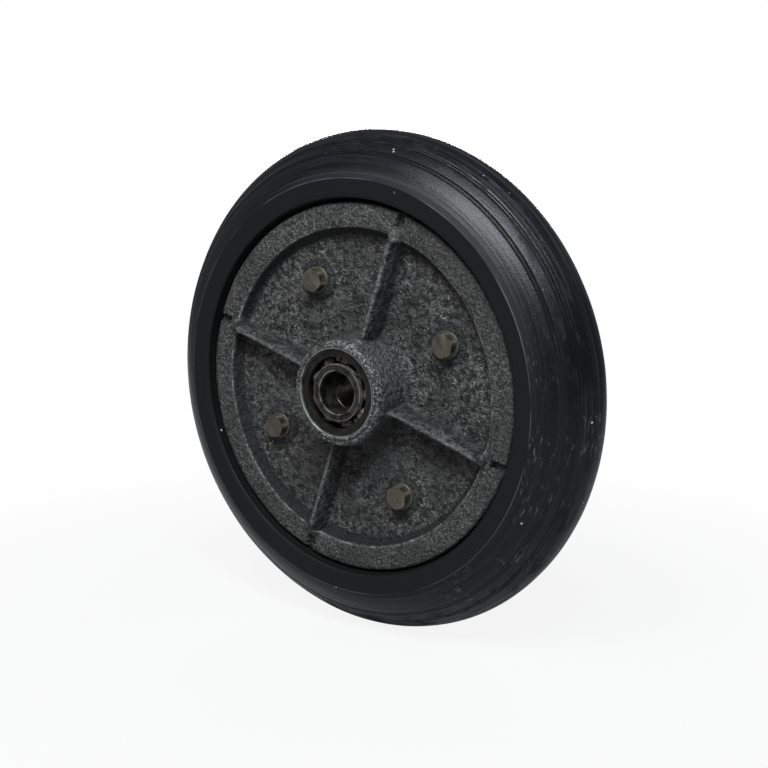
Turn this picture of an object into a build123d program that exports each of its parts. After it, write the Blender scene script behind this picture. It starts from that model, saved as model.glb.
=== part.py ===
from build123d import *
import math
import os

os.makedirs("parts", exist_ok=True)

# A 305 mm solid rubber wheel on a split cast-iron centre with two ball bearings.
# The axle runs along Y, the front of the wheel faces -Y and Z is up.
# "depth" means distance from the mid-plane along the axle. Each half of the
# centre and each bearing is laid out on the front side and mirrored to the rear.

# deep-groove bearing, 25 x 52 x 15 series
bearing_bore = 25.0
bearing_dia = 52.0
bearing_width = 15.0
bearing_chamfer = 1.0
ball_dia = 7.938
ball_count = 9
ball_pitch_radius = (bearing_bore + bearing_dia) / 4.0
ball_play = 0.03
groove_radius = 4.1
inner_shoulder_radius = 17.2
outer_shoulder_radius = 21.3

# cage, two pressed rings riveted together between the balls
cage_sheet = 0.8
cage_play = 0.08
cage_inner_radius = 17.8
cage_outer_radius = 20.7
rivet_radius = 0.7
rivet_head_radius = 1.1
rivet_head_height = 0.5

# tyre
tyre_radius = 152.5
tyre_seat_radius = 97.0
tyre_bead_depth = 19.7
bead_gap = 0.3
lip_gap = 1.8
lip_width = 1.4
lip_rise = 1.2
lip_depth = 29.0
side_roll = 4.8
side_width = 9.9
side_ring_depth = 30.9
tyre_line_radius = 0.45

# the shoulder and its tool lines, each point as the part of the way from the side
# ring out to the crown and the part of the side ring's depth
shoulder_parts = [
    (0.132, 0.935), (0.261, 0.871), (0.389, 0.793), (0.514, 0.699), (0.632, 0.599),
    (0.743, 0.489), (0.836, 0.375), (0.921, 0.265), (0.975, 0.159), (0.995, 0.071),
]
tyre_line_parts = [(0.504, 0.707), (0.554, 0.667), (0.736, 0.492), (0.775, 0.450)]

# cast centre, one half
hub_radius = 31.5
hub_root_radius = 33.5
hub_depth = 43.0
hub_face_radius = 28.4
hub_shoulder_depth = 27.0
hub_core_radius = 20.0
web_root_depth = 15.5
web_rim_depth = 19.6
web_thickness = 6.0
recess_foot_radius = 92.2
recess_radius = 97.3
drum_inner_radius = 89.5
flange_radius = 111.4
flange_depth = 25.7
rib_count = 4
rib_angle = 71.5
rib_thickness = 3.5
rib_depth = 31.0
rib_draft = 9.0
rib_start_radius = 29.0
rib_end_radius = 101.0
rib_flare_start = 84.0
rib_flare = 3.5
rib_foot_depth = 12.0
notch_width = 7.0
notch_depth = 4.0
notch_start_radius = 102.5

# bolts through both halves
bolt_count = 4
bolt_angle = rib_angle - 45.0
bolt_circle_radius = 70.0
bolt_hole_radius = 4.5
bolt_pad_radius = 11.0
bolt_pad_depth = 18.8
bolt_radius = 4.0
bolt_length = 50.0
hex_across_flats = 13.0
hex_bevel_angle = 60.0
head_height = 5.3
nut_height = 6.8
washer_radius = 8.0
washer_hole_radius = 4.2
washer_thickness = 1.6
spring_washer_radius = 7.4
spring_washer_hole_radius = 4.1
spring_washer_thickness = 2.0
spring_washer_gap = 1.2

# spacer tube between the two inner rings
spacer_bore_radius = 12.7
spacer_radius = 16.2

# distances that follow from the sizes above
lip_inner_radius = flange_radius + lip_gap
lip_radius = lip_inner_radius + lip_width
side_ring_radius = lip_radius + side_width
shoulder_width = tyre_radius - side_ring_radius
shoulder_points = [(side_ring_radius + a * shoulder_width, b * side_ring_depth) for a, b in shoulder_parts]
tyre_lines = [(side_ring_radius + a * shoulder_width, b * side_ring_depth) for a, b in tyre_line_parts]
bearing_depth = hub_shoulder_depth + bearing_width / 2.0
inner_groove_centre = ball_pitch_radius - ball_dia / 2.0 - ball_play + groove_radius
outer_groove_centre = ball_pitch_radius + ball_dia / 2.0 + ball_play - groove_radius
head_seat_depth = bolt_pad_depth + washer_thickness
nut_seat_depth = bolt_pad_depth + washer_thickness + spring_washer_thickness
hex_corner_radius = hex_across_flats / math.sqrt(3.0)
hex_bevel_radius = 0.95 * hex_across_flats / 2.0


# TYRE: one solid moulding. The base sits on the drum of the split centre and
# the two flanges grip its shoulders. The lips stand a little proud of them.
half_outline = (
    [(tyre_seat_radius, tyre_bead_depth), (flange_radius + bead_gap, tyre_bead_depth)]
    + [(lip_inner_radius, lip_depth - lip_rise), (lip_radius, lip_depth)]
    + [(lip_radius + side_roll, side_ring_depth), (side_ring_radius, side_ring_depth)]
)
front_outline = [(r, -d) for r, d in half_outline]
rear_outline = [(r, d) for r, d in reversed(half_outline)]
front_shoulder = [(r, -d) for r, d in shoulder_points]
rear_shoulder = [(r, d) for r, d in reversed(shoulder_points)]
crown = [front_outline[-1]] + front_shoulder + [(tyre_radius, 0.0)] + rear_shoulder + [rear_outline[0]]
with BuildPart() as tyre:
    with BuildSketch(Plane.XY):
        with BuildLine():
            Polyline(front_outline)
            Spline(crown)
            Polyline(rear_outline)
            Line(rear_outline[-1], front_outline[0])
        make_face()
    revolve(axis=Axis.Y)
    with BuildSketch(Plane.XY):
        for line_radius, line_depth in tyre_lines:
            with Locations((line_radius, -line_depth), (line_radius, line_depth)):
                Circle(tyre_line_radius)
    revolve(axis=Axis.Y, mode=Mode.SUBTRACT)
tyre.part.label = "tyre"
export_step(tyre.part, "parts/tyre.step")


# CAST HALVES: one iron pattern used for both sides. Hub, dished web, drum,
# flange and four drafted ribs are one casting, machined only in the hub.
web_back_root = web_root_depth - web_thickness
web_back_rim = web_rim_depth - web_thickness
half_section = [
    (hub_core_radius, 0.0),
    (hub_core_radius, hub_shoulder_depth),
    (bearing_dia / 2.0, hub_shoulder_depth),
    (bearing_dia / 2.0, hub_depth - 0.5),
    (bearing_dia / 2.0 + 0.5, hub_depth),
    (hub_face_radius, hub_depth),
    (hub_face_radius + 0.4, hub_depth - 0.9),
    (hub_radius - 1.4, hub_depth - 1.3),
    (hub_radius, hub_depth - 2.9),
    (hub_root_radius, web_root_depth + 4.0),
    (hub_root_radius + 1.0, web_root_depth + 1.2),
    (hub_root_radius + 3.6, web_root_depth + 0.2),
    (recess_foot_radius - 2.4, web_rim_depth - 0.1),
    (recess_foot_radius, web_rim_depth + 0.9),
    (recess_radius - 0.9, flange_depth - 0.9),
    (recess_radius + 0.5, flange_depth),
    (flange_radius - 1.0, flange_depth),
    (flange_radius, flange_depth - 1.0),
    (flange_radius, tyre_bead_depth),
    (tyre_seat_radius, tyre_bead_depth),
    (tyre_seat_radius, 0.0),
    (drum_inner_radius, 0.0),
    (drum_inner_radius - 1.0, web_back_rim - 2.0),
    (drum_inner_radius - 3.0, web_back_rim),
    (hub_root_radius + 3.0, web_back_root),
    (hub_root_radius + 1.0, web_back_root - 2.0),
    (hub_root_radius, 0.0),
]
rib_outline = [
    (rib_start_radius, -rib_thickness / 2.0),
    (rib_flare_start, -rib_thickness / 2.0),
    (rib_end_radius, -rib_thickness / 2.0 - rib_flare),
    (rib_end_radius, rib_thickness / 2.0 + rib_flare),
    (rib_flare_start, rib_thickness / 2.0),
    (rib_start_radius, rib_thickness / 2.0),
]
with BuildPart() as front_half:
    with BuildSketch(Plane.XY):
        with BuildLine():
            Polyline([(r, -d) for r, d in half_section], close=True)
        make_face()
    revolve(axis=Axis.Y)
    with BuildSketch(Plane.XZ.offset(rib_depth)):
        with PolarLocations(0, rib_count, start_angle=rib_angle):
            Polygon(rib_outline, align=None)
    extrude(amount=-(rib_depth - rib_foot_depth), taper=-rib_draft)
    with BuildSketch(Plane.XZ):
        with PolarLocations(bolt_circle_radius, bolt_count, start_angle=bolt_angle):
            Circle(bolt_pad_radius)
    extrude(amount=bolt_pad_depth)
    with BuildSketch(Plane.XZ):
        with PolarLocations(bolt_circle_radius, bolt_count, start_angle=bolt_angle):
            Circle(bolt_hole_radius)
    extrude(amount=bolt_pad_depth, mode=Mode.SUBTRACT)
    with BuildSketch(Plane.XZ.offset(flange_depth)):
        with PolarLocations((notch_start_radius + flange_radius + 1.0) / 2.0, rib_count, start_angle=rib_angle):
            Rectangle(flange_radius + 1.0 - notch_start_radius, notch_width)
    extrude(amount=-notch_depth, mode=Mode.SUBTRACT)
    with BuildSketch(Plane.XZ):
        Circle(flange_radius)
        Circle(tyre_seat_radius, mode=Mode.SUBTRACT)
    extrude(amount=tyre_bead_depth, mode=Mode.SUBTRACT)
front_half.part.label = "front_half"
export_step(front_half.part, "parts/front_half.step")

with BuildPart() as rear_half:
    add(front_half.part)
    mirror(about=Plane.XZ, mode=Mode.REPLACE)
rear_half.part.label = "rear_half"
export_step(rear_half.part, "parts/rear_half.step")


# FASTENERS: four hexagon bolts clamp the halves at spot-faced pads, each with a
# flat washer under the head and a flat and a spring washer under the nut.
for index in range(bolt_count):
    angle = math.radians(bolt_angle + index * 360.0 / bolt_count)
    x = bolt_circle_radius * math.cos(angle)
    z = bolt_circle_radius * math.sin(angle)
    number = index + 1

    with BuildPart() as bolt:
        with BuildSketch(Plane.XZ.offset(head_seat_depth)):
            with Locations((x, z)):
                RegularPolygon(hex_corner_radius, 6, rotation=30)
        extrude(amount=head_height)
        with BuildSketch(Plane.XZ.offset(head_seat_depth)):
            with Locations((x, z)):
                Circle(hex_bevel_radius + head_height * math.tan(math.radians(hex_bevel_angle)))
        extrude(amount=head_height, taper=hex_bevel_angle, mode=Mode.INTERSECT)
        with BuildSketch(Plane.XZ.offset(head_seat_depth)):
            with Locations((x, z)):
                Circle(bolt_radius)
        extrude(amount=-bolt_length)
        chamfer(bolt.faces().sort_by(Axis.Y)[-1].edges(), length=0.8)
    bolt.part.label = f"bolt_{number}"
    export_step(bolt.part, f"parts/bolt_{number}.step")

    with BuildPart() as washer:
        with BuildSketch(Plane.XZ.offset(bolt_pad_depth)):
            with Locations((x, z)):
                Circle(washer_radius)
                Circle(washer_hole_radius, mode=Mode.SUBTRACT)
        extrude(amount=washer_thickness)
    washer.part.label = f"washer_{number}"
    export_step(washer.part, f"parts/washer_{number}.step")

    with BuildPart() as nut_washer:
        with BuildSketch(Plane.XZ.offset(-bolt_pad_depth)):
            with Locations((x, z)):
                Circle(washer_radius)
                Circle(washer_hole_radius, mode=Mode.SUBTRACT)
        extrude(amount=-washer_thickness)
    nut_washer.part.label = f"nut_washer_{number}"
    export_step(nut_washer.part, f"parts/nut_washer_{number}.step")

    with BuildPart() as spring_washer:
        with BuildSketch(Plane.XZ.offset(-(bolt_pad_depth + washer_thickness))):
            with Locations((x, z)):
                Circle(spring_washer_radius)
                Circle(spring_washer_hole_radius, mode=Mode.SUBTRACT)
            with Locations((x, z + spring_washer_radius)):
                Rectangle(spring_washer_gap, 2.0 * spring_washer_radius, mode=Mode.SUBTRACT)
        extrude(amount=-spring_washer_thickness)
    spring_washer.part.label = f"spring_washer_{number}"
    export_step(spring_washer.part, f"parts/spring_washer_{number}.step")

    with BuildPart() as nut:
        with BuildSketch(Plane.XZ.offset(-nut_seat_depth)):
            with Locations((x, z)):
                RegularPolygon(hex_corner_radius, 6, rotation=30)
        extrude(amount=-nut_height)
        with BuildSketch(Plane.XZ.offset(-nut_seat_depth)):
            with Locations((x, z)):
                Circle(hex_bevel_radius + nut_height * math.tan(math.radians(hex_bevel_angle)))
        extrude(amount=-nut_height, taper=hex_bevel_angle, mode=Mode.INTERSECT)
        with BuildSketch(Plane.XZ.offset(-nut_seat_depth)):
            with Locations((x, z)):
                Circle(bolt_radius)
        extrude(amount=-nut_height, mode=Mode.SUBTRACT)
    nut.part.label = f"nut_{number}"
    export_step(nut.part, f"parts/nut_{number}.step")


# SPACER: a plain steel tube that keeps the two inner rings apart on the axle.
with BuildPart() as bearing_spacer:
    with BuildSketch(Plane.XZ.offset(-hub_shoulder_depth)):
        Circle(spacer_radius)
        Circle(spacer_bore_radius, mode=Mode.SUBTRACT)
    extrude(amount=2.0 * hub_shoulder_depth)
bearing_spacer.part.label = "bearing_spacer"
export_step(bearing_spacer.part, "parts/bearing_spacer.step")


# BEARINGS: open ball bearings pushed into the hub from each face. Each has an
# outer ring, an inner ring, nine balls and a riveted two-piece pressed cage.
half_width = bearing_width / 2.0
edge = bearing_chamfer
for side, sign in (("front", 1.0), ("rear", -1.0)):
    centre = -sign * bearing_depth

    with BuildPart() as outer_ring:
        with BuildSketch(Plane.XY):
            with BuildLine():
                Polyline(
                    (outer_shoulder_radius, centre - half_width + 0.4),
                    (outer_shoulder_radius + 0.4, centre - half_width),
                    (bearing_dia / 2.0 - edge, centre - half_width),
                    (bearing_dia / 2.0, centre - half_width + edge),
                    (bearing_dia / 2.0, centre + half_width - edge),
                    (bearing_dia / 2.0 - edge, centre + half_width),
                    (outer_shoulder_radius + 0.4, centre + half_width),
                    (outer_shoulder_radius, centre + half_width - 0.4),
                    close=True,
                )
            make_face()
            with Locations((outer_groove_centre, centre)):
                Circle(groove_radius, mode=Mode.SUBTRACT)
        revolve(axis=Axis.Y)
    outer_ring.part.label = f"{side}_outer_ring"
    export_step(outer_ring.part, f"parts/{side}_outer_ring.step")

    with BuildPart() as inner_ring:
        with BuildSketch(Plane.XY):
            with BuildLine():
                Polyline(
                    (bearing_bore / 2.0, centre - half_width + edge),
                    (bearing_bore / 2.0 + edge, centre - half_width),
                    (inner_shoulder_radius - 0.4, centre - half_width),
                    (inner_shoulder_radius, centre - half_width + 0.4),
                    (inner_shoulder_radius, centre + half_width - 0.4),
                    (inner_shoulder_radius - 0.4, centre + half_width),
                    (bearing_bore / 2.0 + edge, centre + half_width),
                    (bearing_bore / 2.0, centre + half_width - edge),
                    close=True,
                )
            make_face()
            with Locations((inner_groove_centre, centre)):
                Circle(groove_radius, mode=Mode.SUBTRACT)
        revolve(axis=Axis.Y)
    inner_ring.part.label = f"{side}_inner_ring"
    export_step(inner_ring.part, f"parts/{side}_inner_ring.step")

    with BuildPart() as balls:
        with Locations(Plane.XZ.offset(-centre)):
            with PolarLocations(ball_pitch_radius, ball_count):
                Sphere(ball_dia / 2.0)
    balls.part.label = f"{side}_balls"
    export_step(balls.part, f"parts/{side}_balls.step")

    for half, out in (("outboard", sign), ("inboard", -sign)):
        with BuildPart() as cage:
            with BuildSketch(Plane.XZ.offset(-centre)):
                Circle(cage_outer_radius)
                Circle(cage_inner_radius, mode=Mode.SUBTRACT)
            extrude(amount=out * cage_sheet)
            with Locations(Plane.XZ.offset(-centre)):
                with PolarLocations(ball_pitch_radius, ball_count):
                    Sphere(ball_dia / 2.0 + cage_play + cage_sheet)
            with BuildSketch(Plane.XZ.offset(-centre)):
                Circle(cage_outer_radius)
                Circle(cage_inner_radius, mode=Mode.SUBTRACT)
            extrude(amount=out * ball_dia, mode=Mode.INTERSECT)
            with Locations(Plane.XZ.offset(-centre)):
                with PolarLocations(ball_pitch_radius, ball_count):
                    Sphere(ball_dia / 2.0 + cage_play, mode=Mode.SUBTRACT)
            with BuildSketch(Plane.XZ.offset(-centre)):
                with PolarLocations(ball_pitch_radius, ball_count, start_angle=180.0 / ball_count):
                    Circle(rivet_radius)
            extrude(amount=out * ball_dia, mode=Mode.SUBTRACT)
        cage.part.label = f"{side}_cage_{half}"
        export_step(cage.part, f"parts/{side}_cage_{half}.step")

    with BuildPart() as cage_rivets:
        with BuildSketch(Plane.XZ.offset(-centre - cage_sheet)):
            with PolarLocations(ball_pitch_radius, ball_count, start_angle=180.0 / ball_count):
                Circle(rivet_radius)
        extrude(amount=2.0 * cage_sheet)
        with BuildSketch(Plane.XZ.offset(-centre + cage_sheet)):
            with PolarLocations(ball_pitch_radius, ball_count, start_angle=180.0 / ball_count):
                Circle(rivet_head_radius)
        extrude(amount=rivet_head_height)
        with BuildSketch(Plane.XZ.offset(-centre - cage_sheet)):
            with PolarLocations(ball_pitch_radius, ball_count, start_angle=180.0 / ball_count):
                Circle(rivet_head_radius)
        extrude(amount=-rivet_head_height)
    cage_rivets.part.label = f"{side}_cage_rivets"
    export_step(cage_rivets.part, f"parts/{side}_cage_rivets.step")
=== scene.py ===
import math

import bmesh
import bpy
from mathutils import Matrix, Vector, noise


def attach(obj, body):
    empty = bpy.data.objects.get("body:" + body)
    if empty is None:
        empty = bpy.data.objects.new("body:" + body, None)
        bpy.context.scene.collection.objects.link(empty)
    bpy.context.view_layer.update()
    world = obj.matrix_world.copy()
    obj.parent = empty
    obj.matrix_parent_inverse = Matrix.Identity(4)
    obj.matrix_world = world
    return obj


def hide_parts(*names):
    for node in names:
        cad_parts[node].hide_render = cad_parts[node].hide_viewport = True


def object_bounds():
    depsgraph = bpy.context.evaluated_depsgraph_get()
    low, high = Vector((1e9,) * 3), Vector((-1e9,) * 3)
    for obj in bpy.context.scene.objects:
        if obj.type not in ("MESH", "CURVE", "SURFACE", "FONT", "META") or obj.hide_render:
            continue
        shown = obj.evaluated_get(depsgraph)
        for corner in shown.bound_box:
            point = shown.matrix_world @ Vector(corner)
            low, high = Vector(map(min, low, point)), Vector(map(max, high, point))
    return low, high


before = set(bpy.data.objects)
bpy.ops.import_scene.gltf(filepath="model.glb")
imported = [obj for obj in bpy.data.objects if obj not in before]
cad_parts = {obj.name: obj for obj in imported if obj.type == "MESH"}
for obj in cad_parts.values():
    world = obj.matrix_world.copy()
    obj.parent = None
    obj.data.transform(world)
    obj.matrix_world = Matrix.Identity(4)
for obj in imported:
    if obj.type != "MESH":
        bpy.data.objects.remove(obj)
cad_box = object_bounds()
scene = bpy.context.scene
scene.view_settings.view_transform = "Standard"


# CAMERA: stands in front of the wheel, a little to its right and above the axle,
# at the distance and with the lens that make its circles lie as they were seen.
lens = bpy.data.cameras.new("camera")
lens.lens = 65.6
lens.sensor_width = 36.0
lens.clip_start = 0.01
camera = bpy.data.objects.new("camera", lens)
camera.location = (0.4947, -0.6799, 0.1554)
camera.rotation_euler = (math.radians(90.0 - 10.54), 0.0, math.radians(35.81))
scene.collection.objects.link(camera)
scene.camera = camera


# STUDIO: a pale floor under the tyre that fades into a white surround, a soft lamp
# above the front with a smaller one beside it, and one low behind for the back.
class Field:
    """A shader socket that can be used in plain arithmetic."""

    def __init__(self, tree, socket=None):
        self.tree = tree
        self.socket = socket

    def node(self, kind, sockets=None, output=0, **settings):
        """Adds a node with its settings and sockets, and gives back one of its outputs."""
        made = self.tree.nodes.new(kind)
        for name, value in settings.items():
            setattr(made, name, value)
        for name, value in (sockets or {}).items():
            if isinstance(value, Field):
                self.tree.links.new(value.socket, made.inputs[name])
            else:
                made.inputs[name].default_value = value
        return Field(self.tree, made.outputs[output]) if len(made.outputs) else None

    def math(self, operation, *values):
        return self.node("ShaderNodeMath", dict(enumerate(values)), operation=operation)

    def __add__(self, other):
        return self.math("ADD", self, other)

    def __radd__(self, other):
        return self.math("ADD", other, self)

    def __sub__(self, other):
        return self.math("SUBTRACT", self, other)

    def __rsub__(self, other):
        return self.math("SUBTRACT", other, self)

    def __mul__(self, other):
        return self.math("MULTIPLY", self, other)

    def __rmul__(self, other):
        return self.math("MULTIPLY", other, self)

    def __truediv__(self, other):
        return self.math("DIVIDE", self, other)

    def __pow__(self, other):
        return self.math("POWER", self, other)

    def __abs__(self):
        return self.math("ABSOLUTE", self)

    def step(self, low, high):
        """0 at low and 1 at high, eased between; low may be the larger."""
        if low > high:
            return 1.0 - self.step(high, low)
        span = {"Value": self, "From Min": low, "From Max": high}
        return self.node("ShaderNodeMapRange", span, interpolation_type="SMOOTHSTEP")

    def near(self, middle, width):
        """1 at middle, falling to 0 at width to either side."""
        return abs(self - middle).step(width, 0.0)

    def near_each(self, middles, width):
        """Adds up near() for several middles."""
        total = self.near(middles[0], width)
        for middle in middles[1:]:
            total = total + self.near(middle, width)
        return total

    def blend(self, first, second):
        """The first colour where this is 0 and the second where it is 1."""
        return self.node("ShaderNodeMix", {0: self, 6: first, 7: second}, output=2, data_type="RGBA")

    def grain(self, place, scale, detail=3.0, roughness=0.6):
        sockets = {"Vector": place, "Scale": scale, "Detail": detail, "Roughness": roughness}
        return self.node("ShaderNodeTexNoise", sockets)

    def cells(self, place, scale):
        return self.node("ShaderNodeTexVoronoi", {"Vector": place, "Scale": scale})

    def bump(self, height, distance, strength=1.0):
        sockets = {"Strength": strength, "Distance": distance, "Height": height}
        return self.node("ShaderNodeBump", sockets)

    def place(self):
        """The point on the piece, in metres."""
        return self.node("ShaderNodeTexCoord", output=3)

    def wheel_place(self):
        """The point, its x, y and z, and its distance from the axle, in metres."""
        where = self.place()
        x, y, z = (self.node("ShaderNodeSeparateXYZ", {0: where}, output=k) for k in range(3))
        return where, x, y, z, (x * x + z * z) ** 0.5

    def sharpness(self):
        """About 0.5 on flat metal, more on edges that stand out and less in hollows."""
        return self.node("ShaderNodeNewGeometry", output=7)


def finish(name):
    """An empty material and the field to build its nodes in."""
    made = bpy.data.materials.new(name)
    made.use_nodes = True
    made.node_tree.nodes.clear()
    return made, Field(made.node_tree)


def coat(field, **sockets):
    """Closes a material with one Principled shader; underscores in names stand for spaces."""
    named = {name.replace("_", " "): value for name, value in sockets.items()}
    if "Specular" in named:
        named["Specular IOR Level"] = named.pop("Specular")
    shader = field.node("ShaderNodeBsdfPrincipled", named)
    field.node("ShaderNodeOutputMaterial", {"Surface": shader})


def grey(level, warm=0.0):
    """A linear grey, made warmer or, below zero, bluer."""
    return (level * (1.0 + warm), level, level * (1.0 - warm), 1.0)


def placed(name, form):
    """Puts a form in the scene as an object of that name."""
    mesh = bpy.data.meshes.new(name)
    form.to_mesh(mesh)
    form.free()
    made = bpy.data.objects.new(name, mesh)
    scene.collection.objects.link(made)
    return made


# share of the white floor and surround that gloss shows; more turns black rubber grey
white_in_gloss = 0.10
surround_light = 0.075
floor_gap = 0.0001

floor_form = bmesh.new()
bmesh.ops.create_circle(floor_form, cap_ends=True, segments=96, radius=30.0)
bmesh.ops.translate(floor_form, verts=floor_form.verts, vec=(0.0, 0.0, cad_box[0][2] - floor_gap))
floor = placed("floor", floor_form)
floor_paint, field = finish("floor_paint")
away = field.node("ShaderNodeVectorMath", {0: field.place()}, output=1, operation="LENGTH")
seen = field.node("ShaderNodeLightPath", output=0)
mirrored = field.node("ShaderNodeLightPath", output=3)
matt = field.node("ShaderNodeBsdfDiffuse", {"Color": grey(0.40)})
white = field.node("ShaderNodeEmission", {"Color": grey(1.0), "Strength": 1.0})
share = seen * (0.88 + 0.12 * away.step(0.20, 0.55)) + white_in_gloss * mirrored
mixed = field.node("ShaderNodeMixShader", {0: share, 1: matt, 2: white})
field.node("ShaderNodeOutputMaterial", {"Surface": mixed})
floor.data.materials.append(floor_paint)

surround = bpy.data.worlds.new("surround")
surround.use_nodes = True
surround.node_tree.nodes.clear()
field = Field(surround.node_tree)
seen = field.node("ShaderNodeLightPath", output=0)
mirrored = field.node("ShaderNodeLightPath", output=3)
strength = surround_light + (1.0 - surround_light) * seen + white_in_gloss * mirrored
glow = field.node("ShaderNodeBackground", {"Color": grey(1.0), "Strength": strength})
field.node("ShaderNodeOutputWorld", {"Surface": glow})
scene.world = surround

for name, place, size, power, warm in (
    ("lamp_above", (0.18, -0.72, 0.96), 0.50, 17.5, -0.01),
    ("lamp_right", (0.60, -0.62, 0.87), 0.24, 8.5, -0.12),
    ("lamp_behind", (-0.72, 1.10, 0.16), 0.60, 23.0, 0.0),
):
    glowing = bpy.data.lights.new(name, "AREA")
    glowing.size = size
    glowing.energy = power
    glowing.color = grey(1.0, warm)[:3]
    lamp = bpy.data.objects.new(name, glowing)
    lamp.location = place
    lamp.rotation_euler = (-Vector(place)).to_track_quat("-Z", "Y").to_euler()
    scene.collection.objects.link(lamp)


# TYRE: one moulding of solid black rubber, cured in a turned mould whose tool
# lines run right round it. It is gripped between the flanges of the two castings.
# Outlines are in millimetres, and depth is the distance from the mid-plane.
seat_radius = 97.0
bead_depth = 19.7
bead_radius = 111.7
# inside this radius the iron grips the rubber, and keeps it true
gripped_radius = 112.5
side_points = [
    (113.2, 26.4), (113.2, 28.4), (113.6, 29.3), (114.8, 29.8), (117.5, 30.2), (121.0, 30.6),
    (124.4, 30.8), (128.2, 28.9), (131.8, 26.9), (135.4, 24.5), (138.9, 21.6), (142.2, 18.5),
    (145.3, 15.1), (147.9, 11.6), (150.3, 8.2), (151.8, 4.9), (152.36, 2.2), (152.5, 0.0),
]
groove_radii = (138.7, 140.0, 145.0, 146.2)
groove_depths = (0.46, 0.46, 0.42, 0.42)
groove_half_width = 0.28
# radius, half width and height of each line that stands out of the side or is cut in it
tool_lines = [
    (116.2, 0.45, 0.10), (124.5, 0.42, 0.40), (127.6, 0.55, 0.12), (129.4, 0.40, -0.06),
    (131.2, 0.30, -0.08), (134.4, 0.30, -0.08), (148.4, 0.40, 0.10), (150.2, 0.40, 0.12),
]
tool_lines += [(r, groove_half_width, -depth) for r, depth in zip(groove_radii, groove_depths)]
# scale of the noise and its height in metres, for the slight unevenness of the moulding
tyre_unevenness = ((14.0, 0.00022), (55.0, 0.00010))


def turned(outline, steps):
    """A closed solid turned about the axle from (radius, depth) points in millimetres."""
    form = bmesh.new()
    corners = [form.verts.new((r / 1000.0, -d / 1000.0, 0.0)) for r, d in outline]
    edges = [form.edges.new(pair) for pair in zip(corners, corners[1:] + corners[:1])]
    bmesh.ops.spin(
        form, geom=corners + edges, cent=(0.0, 0.0, 0.0), axis=(0.0, 1.0, 0.0),
        dvec=(0.0, 0.0, 0.0), angle=math.tau, steps=steps, use_merge=True, use_duplicate=False,
    )
    bmesh.ops.remove_doubles(form, verts=form.verts, dist=1e-7)
    bmesh.ops.recalc_face_normals(form, faces=form.faces)
    return form


def piece(name, form, body, nodes, slot, *finishes):
    """Makes a named piece from a form, with its finishes, and fixes it to a body."""
    made = placed(name, form)
    for applied in finishes:
        made.data.materials.append(applied)
    made.data.shade_smooth()
    made.data.set_sharp_from_angle(angle=math.radians(38.0))
    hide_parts(*nodes)
    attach(made, body)


def eased(points, gap):
    """A smooth run of points about gap apart through the given (radius, depth) points."""
    run = []
    for k in range(len(points) - 1):
        before = Vector(points[max(k - 1, 0)])
        start = Vector(points[k])
        end = Vector(points[k + 1])
        after = Vector(points[min(k + 2, len(points) - 1)])
        parts = max(1, round((end - start).length / gap))
        for j in range(parts):
            t = j / parts
            bend = 2.0 * before - 5.0 * start + 4.0 * end - after
            turn = 3.0 * start - before - 3.0 * end + after
            run.append(0.5 * (2.0 * start + (end - before) * t + bend * t * t + turn * t ** 3))
    return run + [Vector(points[-1])]


def uneven(place, layers):
    """Noise at a point, added up from (scale, height) layers."""
    return sum(height * noise.noise(place * scale) for scale, height in layers)


def outward_from_axle(place):
    """The direction straight out from the axle at a point."""
    radius = math.hypot(place.x, place.z)
    return Vector((place.x / radius, 0.0, place.z / radius))


side_run = eased(side_points, 0.40)
carved = []
for k, point in enumerate(side_run):
    along = side_run[min(k + 1, len(side_run) - 1)] - side_run[max(k - 1, 0)]
    outward = Vector((-along.y, along.x)).normalized()
    rise = sum(h * math.exp(-(((point.x - r) / w) ** 2)) for r, w, h in tool_lines)
    carved.append(point + outward * rise)
tyre_outline = [(seat_radius, 0.0), (seat_radius, bead_depth), (bead_radius, bead_depth)]
tyre_outline += [tuple(point) for point in carved]
tyre_outline += [(r, -d) for r, d in reversed(tyre_outline[1:-1])]
tyre_form = turned(tyre_outline, 240)
for corner in tyre_form.verts:
    if math.hypot(corner.co.x, corner.co.z) > gripped_radius / 1000.0:
        corner.co += outward_from_axle(corner.co) * uneven(corner.co, tyre_unevenness)

rubber, field = finish("tyre_rubber")
where, x, y, z, reach = field.wheel_place()
front = y.step(0.0002, -0.0002)
# distance across the side, which grows steadily from the lip out and over the crown;
# the front is moved on, so that its marks aren't those of the back
across = reach - abs(y) + front * 3.0


def streaks(fine, long, detail, seed):
    """Grain drawn out round the tyre: fine across the side and long along it."""
    drawn_out = {0: across * fine + seed, 1: x / reach * long, 2: z / reach * long}
    return field.grain(field.node("ShaderNodeCombineXYZ", drawn_out), 1.0, detail)


bands = streaks(240.0, 1.6, 2.0, 3.0)
lines = streaks(1100.0, 5.0, 3.0, 11.0)
scuffs = streaks(520.0, 26.0, 4.0, 29.0)
smears = streaks(110.0, 9.0, 4.0, 47.0)
sand = field.grain(where, 1050.0, 3.0, 0.75)
mottle = field.grain(where, 36.0, 5.0)
on_side = reach.step(0.1238, 0.1262)
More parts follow.
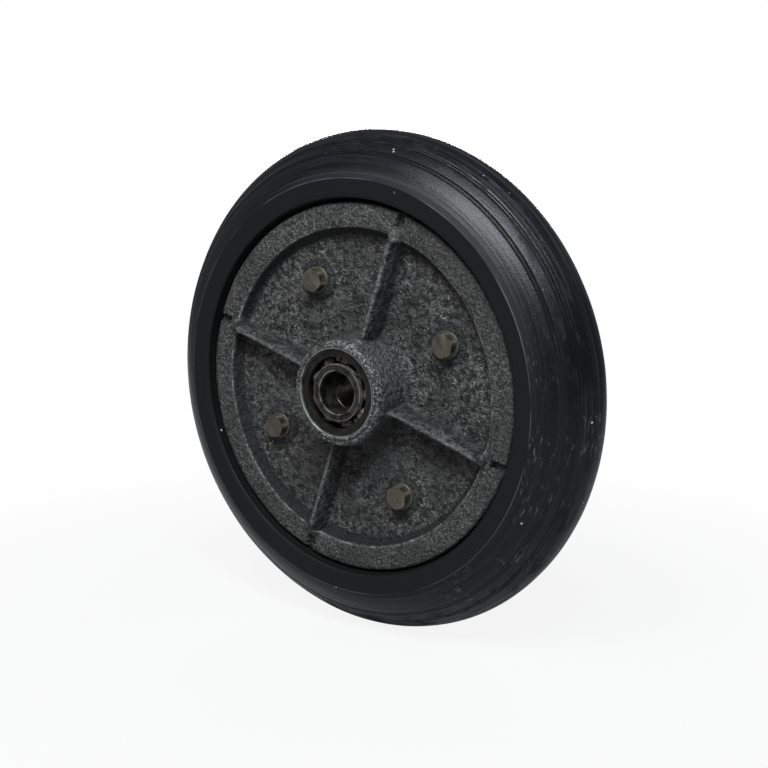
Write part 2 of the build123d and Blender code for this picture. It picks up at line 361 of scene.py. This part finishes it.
# the lower right of the front has rubbed against the ground most
low_right = ((x * 0.90 - z * 0.44) / reach).step(0.62, 0.97)
dirty = mottle.step(0.46, 0.66)
scratch = scuffs.step(0.54, 0.68) * dirty * on_side
ring = reach.near(0.1246, 0.00042) * streaks(60.0, 3.0, 2.0, 71.0).step(0.36, 0.60)
second_ring = reach.near(0.1277, 0.0007) * bands.step(0.35, 0.6)
ridge = reach.near_each((0.1479, 0.1502, 0.1521), 0.0004)
powder = sand.step(0.60, 0.78) * reach.near(0.1420, 0.0040) * mottle.step(0.40, 0.62)
speck = field.cells(where, 170.0).step(0.15, 0.09) * field.grain(where, 70.0, 1.0).step(0.64, 0.70)
groove_shade = reach.near_each([radius / 1000.0 for radius in groove_radii], 0.00045)
black_smear = smears.step(0.50, 0.60) * reach.step(0.1400, 0.1450) * reach.step(0.1524, 0.1505)
tone = (bands.step(0.42, 0.66) * on_side).blend(grey(0.0030, -0.24), grey(0.0085, -0.22))
tone = (scratch * (0.10 + 0.7 * low_right)).blend(tone, grey(0.11, -0.05))
tone = (powder * 0.35).blend(tone, grey(0.06))
tone = (second_ring * 0.22).blend(tone, grey(0.05, -0.04))
tone = (ridge * 0.30 * bands.step(0.38, 0.62)).blend(tone, grey(0.06))
# painted highlight along the raised line at 124.5 mm, broken by streaks
tone = (ring * 0.50).blend(tone, grey(0.13, -0.06))
# painted shade in the grooves cut round the side
tone = (groove_shade * 0.7).blend(tone, grey(0.0015))
# painted shade on the lip's inner wall and the rubber inside it, next to the flange
tone = reach.step(0.1146, 0.1136).blend(tone, grey(0.0012))
tone = (speck * 0.8).blend(tone, grey(0.45))
shine = 0.14 + 0.16 * lines + 0.22 * sand + 0.12 * mottle - 0.14 * bands + 0.36 * black_smear
shine = shine + 0.24 * reach.step(0.1325, 0.1255) + 0.10 * (1.0 - on_side) + 0.3 * speck
height = (0.55 * lines + 0.30 * bands + 1.00 * sand + 0.55 * scuffs) * reach.step(0.1526, 0.1490)
coat(
    field, Base_Color=tone, Roughness=shine, Specular=0.22,
    Normal=field.bump(height, 0.00015, 0.8),
)
piece("solid_tyre", tyre_form, "wheel", ["tyre"], "tyre_rubber", rubber)


# CASTINGS: the two halves of the centre are grey iron cast in sand from one
# pattern, left rough, and machined only in the hub. Ribs brace hub to flange.
rib_angle = 71.5
bolt_angle = rib_angle - 45.0
bolt_circle = 70.0
pad_radius = 11.2
pad_root_depth = 11.6
pad_depth = 18.8
bolt_hole_radius = 4.5
drill_start = 5.0
drill_end = 25.0
cast_outline = [
    (21.0, 0.0), (21.0, 25.6), (27.3, 25.6), (27.3, 42.4), (29.0, 42.3), (30.4, 41.8), (31.3, 40.9),
    (31.6, 39.4), (32.4, 30.0), (33.3, 20.5), (34.8, 17.2), (37.6, 15.8), (60.0, 17.1), (91.0, 18.6),
    (93.6, 18.8), (94.6, 19.4), (95.2, 21.0), (95.6, 24.8), (96.3, 25.8), (104.0, 25.8),
    (110.0, 25.7), (111.0, 25.2), (111.4, 24.4), (111.4, 19.8), (97.0, 19.8), (97.0, 0.3),
    (89.5, 0.3), (88.5, 11.6), (86.5, 13.4), (36.5, 9.5), (34.5, 7.5), (33.5, 0.3),
]
# the turned mouth of the hub, which seats a bearing, and its chamfered front edge
mouth_outline = [
    (26.0, 26.9), (26.0, 42.5), (26.5, 43.0), (28.1, 43.0), (28.7, 42.4), (28.7, 41.0),
    (28.7, 24.6), (20.0, 24.6), (20.0, 26.9),
]
# distance out, half width of the foot and half width of the crest along a rib
rib_outline = [(29.5, 4.6, 1.3), (60.0, 4.5, 1.2), (84.0, 4.8, 1.3), (94.5, 6.4, 2.4), (99.0, 6.4, 3.4)]
rib_foot_depth = 13.5
rib_crest_depth = 31.2
# the outer end of the crest is pulled in and drops towards the flange
rib_end_in = 0.8
rib_end_drop = 3.0
# a notch in the flange at the end of each rib, and how deep its floor lies
notch_start = 102.0
notch_half_width = 2.4
notch_floor_depth = 23.0
# how far the hub boss stands off centre, in metres, as a shifted mould leaves it
boss_shift = Vector((-0.0005, 0.0, -0.0007))
skin_size = 0.00123
# scale of the noise and its height in metres
sand_lumps = ((60.0, 0.00034), (190.0, 0.00026), (420.0, 0.00016))


def rib(form, turn):
    """A drafted rib: its foot's outline is drawn up to a narrower crest."""
    around = [(out, -foot, -crest) for out, foot, crest in rib_outline] + rib_outline[::-1]
    base = [form.verts.new((out, -rib_foot_depth, foot)) for out, foot, _ in around]
    drawn = bmesh.ops.extrude_face_region(form, geom=[form.faces.new(base)])["geom"]
    top = next(item for item in drawn if isinstance(item, bmesh.types.BMFace))
    for corner, (out, _, crest) in zip(top.verts, around):
        corner.co = (out, -rib_crest_depth, crest)
        if out == rib_outline[-1][0]:
            corner.co += Vector((-rib_end_in, rib_end_drop, 0.0))
    # the sides twist where the rib widens, so all are split along the same diagonal
    sides = [face for edge in top.edges for face in edge.link_faces if face != top]
    bmesh.ops.triangulate(form, faces=sides, quad_method="ALTERNATE")
    bmesh.ops.transform(form, matrix=turn @ Matrix.Scale(0.001, 4), verts=base + list(top.verts))


def rod(form, number, radius, low, high):
    """A plain round bar between two depths at one of the four places on the bolt circle."""
    angle = math.radians(bolt_angle + 90.0 * number)
    middle = (bolt_circle * math.cos(angle), -(low + high) / 2.0, bolt_circle * math.sin(angle))
    lying = Matrix.Translation(middle) @ Matrix.Rotation(math.radians(90.0), 4, "X")
    bmesh.ops.create_cone(
        form, cap_ends=True, segments=40, radius1=radius, radius2=radius, depth=high - low,
        matrix=Matrix.Scale(0.001, 4) @ lying,
    )


def roughen(form):
    """Cuts the notch at each rib's end and leaves the front as uneven as sand does."""
    for corner in form.verts:
        place = corner.co
        radius = math.hypot(place.x, place.z)
        depth = -place.y
        angle = (math.degrees(math.atan2(place.z, place.x)) - rib_angle + 45.0) % 90.0 - 45.0
        beside_rib = radius * math.radians(angle) + 0.0008 * noise.noise(place * 240.0)
        notch_floor = notch_floor_depth / 1000.0 + 0.0012 * noise.noise(place * 190.0)
        in_notch = radius > notch_start / 1000.0 and abs(beside_rib) < notch_half_width / 1000.0
        if in_notch and depth > notch_floor:
            place.y = -notch_floor
        if depth > 0.008:
            outward = outward_from_axle(place)
            # the hub and the flange came out smoother than the recess between them
            calm = 0.4 if radius < 0.034 else (0.55 if radius > 0.0975 else 1.0)
            place.y -= uneven(place, sand_lumps) * calm
            ragged = noise.noise(place * 170.0 + Vector((5.0, 1.0, 2.0))) * 0.00022
            if radius > 0.1085:
                ragged = min(ragged, 0.0) - 0.0007 * max(noise.noise(place * 55.0), 0.0)
            place += outward * ragged
            if 0.0285 < radius < 0.036 and depth > 0.019:
                place += boss_shift


def quarters(x, z, degrees):
    """Folds the wheel's face onto one spoke: the distances along and beside it, both positive."""
    across = math.radians(degrees)
    one = abs(x * math.cos(across) + z * math.sin(across))
    two = abs(z * math.cos(across) - x * math.sin(across))
    return one.math("MAXIMUM", one, two), one.math("MINIMUM", one, two)


body_form = turned(cast_outline, 144)
drill_form = bmesh.new()
for k in range(4):
    rib(body_form, Matrix.Rotation(-math.radians(rib_angle + 90.0 * k), 4, "Y"))
    rod(body_form, k, pad_radius, pad_root_depth, pad_depth)
    rod(drill_form, k, bolt_hole_radius, drill_start, drill_end)
bmesh.ops.recalc_face_normals(body_form, faces=body_form.faces)
block = placed("block", body_form)
drill = placed("drill", drill_form)
skin = block.modifiers.new("skin", "REMESH")
skin.mode = "VOXEL"
skin.voxel_size = skin_size
bore = block.modifiers.new("bore", "BOOLEAN")
bore.operation = "DIFFERENCE"
bore.object = drill
skinned = bpy.data.meshes.new_from_object(
    block.evaluated_get(bpy.context.evaluated_depsgraph_get())
)
bpy.data.objects.remove(block)
bpy.data.objects.remove(drill)
casting = bmesh.new()
casting.from_mesh(skinned)
bpy.data.meshes.remove(skinned)
bmesh.ops.smooth_vert(
    casting, verts=casting.verts, factor=0.5, use_axis_x=True, use_axis_y=True, use_axis_z=True
)
roughen(casting)
mouth_form = turned(mouth_outline, 160)
for face in mouth_form.faces:
    face.material_index = 1
mouth = bpy.data.meshes.new("mouth")
mouth_form.to_mesh(mouth)
mouth_form.free()
casting.from_mesh(mouth)
bpy.data.meshes.remove(mouth)

cast_iron, field = finish("cast_iron")
where, x, y, z, reach = field.wheel_place()
depth = abs(y)
fine = field.grain(where, 900.0, 2.0, 0.7)
sand = field.grain(where, 470.0, 3.0, 0.7)
coarse = field.grain(where, 210.0, 4.0, 0.65)
cloud = field.grain(where, 32.0, 4.0, 0.55)
pits = field.cells(where, 330.0)
raised = field.sharpness()
crest = raised.step(0.512, 0.60)
hollow = raised.step(0.488, 0.42)
web = reach.step(0.0965, 0.0945) * reach.step(0.0315, 0.0345)
along_rib, beside_rib = quarters(x, z, rib_angle)
along_bolt, beside_bolt = quarters(x, z, bolt_angle)
from_bolt = ((along_bolt - bolt_circle / 1000.0) ** 2.0 + beside_bolt * beside_bolt) ** 0.5
# dark sand-cast grain with painted glints, most of them on the web
speckle = fine * (0.50 - 0.22 * web) + sand * 0.32 + coarse * (0.18 + 0.22 * web)
tone = speckle.step(0.435, 0.565).blend(grey(0.0065, 0.05), grey(0.078, 0.04))
tone = (cloud.step(0.60, 0.40) * 0.45).blend(tone, grey(0.012, 0.05))
painted_glint = fine.step(0.55, 0.68) * sand.step(0.48, 0.58) * (0.25 + 0.75 * cloud.step(0.42, 0.58))
tone = (painted_glint * (0.30 + 0.50 * web)).blend(tone, grey(0.36))
tone = (coarse.step(0.46, 0.37) * web * 0.85).blend(tone, grey(0.006))
# painted highlight on raised edges, partly wear
tone = (crest * 0.3).blend(tone, grey(0.10))
# painted shade in hollows
tone = (hollow * 0.7).blend(tone, grey(0.007))
# painted shade, partly old grease and dirt, on the ribs' sides, in the notches, round and on the pads, in
# the corners, on the recess wall and at the flange's outer edge
rib_side_shade = beside_rib.near(0.0036, 0.0022) * depth.step(0.0165, 0.0190) * along_rib.step(0.033, 0.036)
rib_side_shade = rib_side_shade * along_rib.step(0.095, 0.092) * (0.6 + 0.4 * coarse.step(0.60, 0.44))
notch = beside_rib.step(0.0032, 0.0020) * along_rib.step(0.1008, 0.1020)
recess_wall_shade = reach.step(0.0936, 0.0944) * reach.step(0.0980, 0.0970) * depth.step(0.0254, 0.0246)
grime = reach.near(0.0932, 0.0026) + recess_wall_shade + from_bolt.near(0.0118, 0.0020) * 0.85
grime = grime + rib_side_shade * 0.8 + notch * 0.7 + reach.near(0.0345, 0.0030) * 0.4
grime = grime + reach.step(0.1095, 0.1108) * 0.8 + from_bolt.step(0.0112, 0.0100) * 0.6
tone = grime.math("MINIMUM", grime, 0.95).blend(tone, grey(0.0035))
# painted highlights, partly wear, on the recess's rim and the ribs' crests, and painted glints on the hub's
# lip
rim_highlight_and_wear = reach.near(0.0966, 0.0008) * depth.step(0.0248, 0.0255) * (0.10 + 0.60 * coarse.step(0.46, 0.58))
tone = rim_highlight_and_wear.blend(tone, grey(0.22))
worn = beside_rib.step(0.0013, 0.0006) * depth.step(0.0290, 0.0302) * along_rib.step(0.096, 0.090)
tone = (worn * (0.20 + 0.5 * sand.step(0.40, 0.60))).blend(tone, grey(0.14))
hub_lip_glints = reach.step(0.0280, 0.0286) * reach.step(0.0330, 0.0318) * depth.step(0.036, 0.039)
tone = (hub_lip_glints * speckle.step(0.50, 0.58) * 0.6).blend(tone, grey(0.26))
shine = 0.50 + 0.24 * sand - 0.24 * painted_glint
height = fine * 0.35 + sand * 0.80 + coarse * (0.5 + 1.3 * web) + pits * 0.25
coat(
    field, Base_Color=tone, Roughness=shine, Metallic=0.2, Specular=0.45,
    Normal=field.bump(height, 0.0020),
)

turned_iron, field = finish("turned_iron")
where, x, y, z, reach = field.wheel_place()
round_marks = field.node("ShaderNodeCombineXYZ", {0: (reach + y) * 2600.0, 1: x * 30.0, 2: z * 30.0})
marks = field.grain(round_marks, 1.0)
stain = field.grain(where, 150.0, 5.0, 0.7)
nicks = field.grain(where, 800.0, 3.0, 0.7)
on_face = reach.step(0.0270, 0.0274)
chamfer = reach.near(0.0265, 0.0008)
tone = stain.step(0.36, 0.66).blend(grey(0.008, 0.06), grey(0.032, 0.03))
# nicks on the turned face, with painted glints on them
tone = (nicks.step(0.52, 0.62) * on_face * 0.7).blend(tone, grey(0.32))
tone = (chamfer * (0.35 + 0.65 * stain.step(0.38, 0.56))).blend(tone, grey(0.19, 0.03))
shine = 0.42 + 0.18 * marks + 0.12 * stain
coat(
    field, Base_Color=tone, Roughness=shine, Metallic=0.35, Specular=0.45,
    Normal=field.bump(0.3 * marks + 0.4 * stain + 0.9 * nicks * on_face, 0.0006),
)

rear_form = casting.copy()
bmesh.ops.scale(rear_form, verts=rear_form.verts, vec=(1.0, -1.0, 1.0))
bmesh.ops.reverse_faces(rear_form, faces=rear_form.faces)
piece("front_casting", casting, "wheel", ["front_half"], "cast_iron", cast_iron, turned_iron)
piece("rear_casting", rear_form, "wheel", ["rear_half"], "cast_iron", cast_iron, turned_iron)


# BOLTS: M8 hexagon bolts hold the castings together, heads in front and nuts behind.
# Their plating has dulled to a brown grey that is worn bright on the corners.
across_flats = 13.0
trimmed_radius = 0.525 * across_flats
corner_trim = 0.7
head_height = 5.3
nut_height = 6.8
bolt_length = 50.0
shank_radius = 4.0
thread_pitch = 1.25
thread_depth = 0.56 * thread_pitch
washer_radius = 8.0
washer_hole = 4.2
washer_thickness = 1.6
spring_radius = 7.4
spring_hole = 4.1
spring_thickness = 2.0
spring_gap = 1.2
nut_bore = 3.9
# the round washer face under the head
collar_radius = 6.1
collar_height = 0.2
head_seat = pad_depth + washer_thickness
head_top = head_seat + head_height
nut_seat = head_seat + spring_thickness
nut_top = nut_seat + nut_height
shank_end = bolt_length - head_seat
# how each bolt and its nut happen to be turned, in degrees
tightened = (9.0, -14.0, 21.0, 4.0)


def drawn_bar(form, count, levels, hollow=False):
    """Draws a ring of edges along y through (height, radius for an angle) levels."""

    def number_in_ring(corner):
        return round(math.atan2(corner.co.z, corner.co.x) / math.tau * count) % count

    upright = Matrix.Rotation(math.radians(90.0), 4, "X")
    start = ring = bmesh.ops.create_circle(form, segments=count, radius=1.0, matrix=upright)["verts"]
    first = last = [edge for edge in form.edges if edge.is_wire]
    for number, (height, radius_at) in enumerate(levels):
        if number:
            drawn = bmesh.ops.extrude_edge_only(form, edges=last)["geom"]
            ring = [item for item in drawn if isinstance(item, bmesh.types.BMVert)]
            last = [item for item in drawn if isinstance(item, bmesh.types.BMEdge)]
        for corner in ring:
            angle = math.tau * number_in_ring(corner) / count
            radius = radius_at(angle)
            corner.co = (radius * math.cos(angle), height, radius * math.sin(angle))
    if hollow:
        bmesh.ops.bridge_loops(form, edges=first + last)
    else:
        form.faces.new(sorted(start, key=number_in_ring, reverse=True))
        form.faces.new(sorted(ring, key=number_in_ring))


def full_hexagon(angle):
    from_flat = (angle + math.pi / 6.0) % (math.pi / 3.0) - math.pi / 6.0
    return across_flats / 2.0 / math.cos(from_flat)


def trimmed_hexagon(angle):
    return min(full_hexagon(angle), trimmed_radius)


def nut_hole(angle):
    return nut_bore


def threaded_shank(form, start, end):
    """A round bar along y with a rolled thread and a chamfered tip at its end."""
    rows_per_turn = 6
    tip_rows = 5
    rows = int((end - start) / thread_pitch * rows_per_turn)

    def thread(row):
        tip = max(0.0, (row - rows + tip_rows) / tip_rows) * thread_depth

        def radius_at(angle):
            phase = (row / rows_per_turn + angle / math.tau) % 1.0
            return shank_radius - max(thread_depth * abs(phase - 0.5) * 2.0, tip)

        return radius_at

    drawn_bar(form, 28, [(start + (end - start) * row / rows, thread(row)) for row in range(rows + 1)])


def flat_ring(form, outer, inner, low, high, gap=0.0):
    """A washer along y with eased edges; with a gap it is a split spring washer."""
    worn = 0.25
    burr = 0.1
    section = [
        (inner, low + burr), (inner + burr, low), (outer - worn, low), (outer, low + worn),
        (outer, high - worn), (outer - worn, high), (inner + burr, high), (inner, high - burr),
    ]
    opening = gap / outer
    start = math.pi / 2.0 + opening / 2.0
    corners = [form.verts.new((r * math.cos(start), h, r * math.sin(start))) for r, h in section]
    edges = [form.edges.new(pair) for pair in zip(corners, corners[1:] + corners[:1])]
    ends = [form.faces.new(corners)] if gap else []
    bmesh.ops.spin(
        form, geom=corners + edges + ends, cent=(0.0, 0.0, 0.0), axis=(0.0, -1.0, 0.0),
        dvec=(0.0, 0.0, 0.0), angle=math.tau - opening, steps=56, use_merge=not gap,
        use_duplicate=False,
    )


bolt_steel, field = finish("bolt_steel")
where = field.place()
grime = field.grain(where, 240.0, 5.0, 0.65)
flecks = field.grain(where, 1300.0, 2.0)
blotch = field.grain(where, 75.0, 2.0)
raised = field.sharpness()
tone = grime.step(0.40, 0.60).blend((0.007, 0.006, 0.004, 1.0), (0.036, 0.031, 0.019, 1.0))
tone = (blotch.step(0.50, 0.62) * 0.5).blend(tone, (0.040, 0.031, 0.014, 1.0))
tone = (raised.step(0.53, 0.60) * 0.55).blend(tone, (0.20, 0.19, 0.155, 1.0))
tone = (flecks.step(0.62, 0.74) * 0.4).blend(tone, grey(0.16))
coat(
    field, Base_Color=tone, Roughness=0.40 + 0.2 * grime, Metallic=0.45, Specular=0.5,
    Normal=field.bump(grime + 0.4 * flecks, 0.00025),
)

for k in range(4):
    angle = math.radians(bolt_angle + 90.0 * k)
    seat = Matrix.Translation((bolt_circle * math.cos(angle), 0.0, bolt_circle * math.sin(angle)))
    seat = Matrix.Scale(0.001, 4) @ seat @ Matrix.Rotation(math.radians(tightened[k]), 4, "Y")
    parts = {name: bmesh.new() for name in ("bolt", "washer", "nut_washer", "spring_washer", "nut")}
    drawn_bar(parts["bolt"], 48, [
        (-head_seat - collar_height, full_hexagon), (-head_top + corner_trim, full_hexagon),
        (-head_top, trimmed_hexagon),
    ])
    # the collar and the shank reach a little into the head, which hides their ends
    flat_ring(parts["bolt"], collar_radius, 3.0, -head_seat - collar_height - 0.1, -head_seat - 0.02)
    threaded_shank(parts["bolt"], -head_seat - 0.6, shank_end)
    flat_ring(parts["washer"], washer_radius, washer_hole, -head_seat, -pad_depth)
    flat_ring(parts["nut_washer"], washer_radius, washer_hole, pad_depth, head_seat)
    flat_ring(parts["spring_washer"], spring_radius, spring_hole, head_seat, nut_seat, spring_gap)
    drawn_bar(parts["nut"], 48, [
        (nut_seat, nut_hole), (nut_seat, trimmed_hexagon), (nut_seat + corner_trim, full_hexagon),
        (nut_top - corner_trim, full_hexagon), (nut_top, trimmed_hexagon), (nut_top, nut_hole),
    ], hollow=True)
    for name, form in parts.items():
        bmesh.ops.recalc_face_normals(form, faces=form.faces)
        bmesh.ops.transform(form, matrix=seat, verts=form.verts)
        piece(f"{name}_piece_{k + 1}", form, "wheel", [f"{name}_{k + 1}"], "bolt_steel", bolt_steel)


# BEARINGS: open ball bearings, ground and hardened. The rings are dark with old
# grease, and highlights are painted in thin lines along their edges.
bearing_middle = 34.5
ball_count = 9
ball_radius = 3.969
ball_play = 0.03
ball_circle = 19.25
groove_radius = 4.1
outer_groove_centre = ball_circle + ball_radius + ball_play - groove_radius
inner_groove_centre = ball_circle - ball_radius - ball_play + groove_radius
# one side of each ring's section, from its shoulder by the balls round to its seat
outer_ring_side = [(21.3, 7.1), (21.4, 7.4), (21.7, 7.5), (25.0, 7.5), (25.7, 7.3), (25.97, 6.6)]
inner_ring_side = [(17.2, 7.1), (17.1, 7.4), (16.8, 7.5), (13.5, 7.5), (12.8, 7.2), (12.5, 6.5)]

ring_steel, field = finish("bearing_steel")
where, x, y, z, reach = field.wheel_place()
grease = field.grain(where, 210.0, 4.0, 0.6)
film = field.grain(where, 60.0, 2.0)
grinding = field.node("ShaderNodeCombineXYZ", {0: reach * 5200.0, 1: x * 60.0, 2: z * 60.0})
ground = field.grain(grinding, 1.0)
edge_highlight = reach.near(0.0170, 0.0005) + reach.near(0.0131, 0.0006) + reach.near(0.0256, 0.0003)
inner = reach.step(0.0190, 0.0180)
tone = (grease * 0.7 + film * 0.3).step(0.42, 0.62).blend(grey(0.004, 0.10), grey(0.014, 0.14))
tone = (inner * grease.step(0.38, 0.62)).blend(tone, grey(0.030, 0.10))
# painted highlights along the rings' edges
tone = (edge_highlight * 0.65 * grease.step(0.34, 0.54)).blend(tone, grey(0.26, 0.05))
coat(
    field, Base_Color=tone, Roughness=0.30 + 0.30 * grease, Metallic=0.55, Specular=0.5,
    Normal=field.bump(0.25 * ground + grease, 0.00022),
)

bright_steel, field = finish("bright_steel")
haze = field.grain(field.place(), 300.0, 4.0)
tone = haze.step(0.36, 0.64).blend(grey(0.16, 0.06), grey(0.42, 0.02))
coat(field, Base_Color=tone, Roughness=0.18 + 0.22 * haze, Metallic=0.9, Normal=field.bump(haze, 0.00006))

cage_steel, field = finish("cage_steel")
oil = field.grain(field.place(), 330.0, 4.0, 0.6)
wear = field.sharpness()
tone = oil.step(0.36, 0.62).blend((0.030, 0.024, 0.017, 1.0), (0.125, 0.100, 0.070, 1.0))
tone = (wear.step(0.52, 0.62) * 0.5).blend(tone, grey(0.24, 0.12))
coat(field, Base_Color=tone, Roughness=0.30 + 0.25 * oil, Metallic=0.5, Normal=field.bump(oil, 0.00015))

groove_turns = [math.radians(angle) for angle in range(54, -55, -9)]
for side, sign in (("front", 1.0), ("rear", -1.0)):
    middle = bearing_middle * sign
    for ring, edge, centre, bulge, body in (
        ("outer_ring", outer_ring_side, outer_groove_centre, groove_radius, "wheel"),
        ("inner_ring", inner_ring_side, inner_groove_centre, -groove_radius, "axle_side"),
    ):
        section = [(r, -d) for r, d in edge] + list(reversed(edge))
        section += [(centre + bulge * math.cos(a), groove_radius * math.sin(a)) for a in groove_turns]
        form = turned([(r, middle + d) for r, d in section], 128)
        piece(f"{side}_{ring}_piece", form, body, [f"{side}_{ring}"], "bearing_steel", ring_steel)

    form = bmesh.new()
    for k in range(ball_count):
        angle = math.tau * k / ball_count
        spot = Vector((ball_circle * math.cos(angle), -middle, ball_circle * math.sin(angle)))
        bmesh.ops.create_icosphere(
            form, subdivisions=3, radius=ball_radius / 1000.0, matrix=Matrix.Translation(spot / 1000.0)
        )
    piece(f"{side}_ball_set", form, f"{side}_cage", [f"{side}_balls"], "bright_steel", bright_steel)

    for node in ("cage_outboard", "cage_inboard", "cage_rivets"):
        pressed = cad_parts[f"{side}_{node}"]
        pressed.data.materials.clear()
        pressed.data.materials.append(cage_steel)


# SPACER: a plain drawn steel tube that keeps the two inner rings apart.
# Its bore shows bright lines from drawing under a thin rust.
spacer_end = 27.0
spacer_hole = 12.7
spacer_radius = 16.2
spacer_chamfer = 0.2

bore_steel, field = finish("bore_steel")
where = field.place()
drawn = field.node("ShaderNodeVectorMath", {0: where, 1: (900.0, 60.0, 900.0)}, operation="MULTIPLY")
draw_lines = field.grain(drawn, 1.0)
rust = field.grain(where, 120.0, 5.0, 0.65)
tone = rust.step(0.38, 0.62).blend(grey(0.018, 0.24), grey(0.11, 0.08))
coat(
    field, Base_Color=tone, Roughness=0.25 + 0.2 * draw_lines, Metallic=0.8,
    Normal=field.bump(draw_lines, 0.0001),
)
tube_end = [
    (spacer_hole, spacer_end - spacer_chamfer), (spacer_hole + spacer_chamfer, spacer_end),
    (spacer_radius - spacer_chamfer, spacer_end), (spacer_radius, spacer_end - spacer_chamfer),
]
form = turned(tube_end + [(r, -d) for r, d in reversed(tube_end)], 96)
piece("spacer_tube", form, "axle_side", ["bearing_spacer"], "bright_steel", bore_steel)
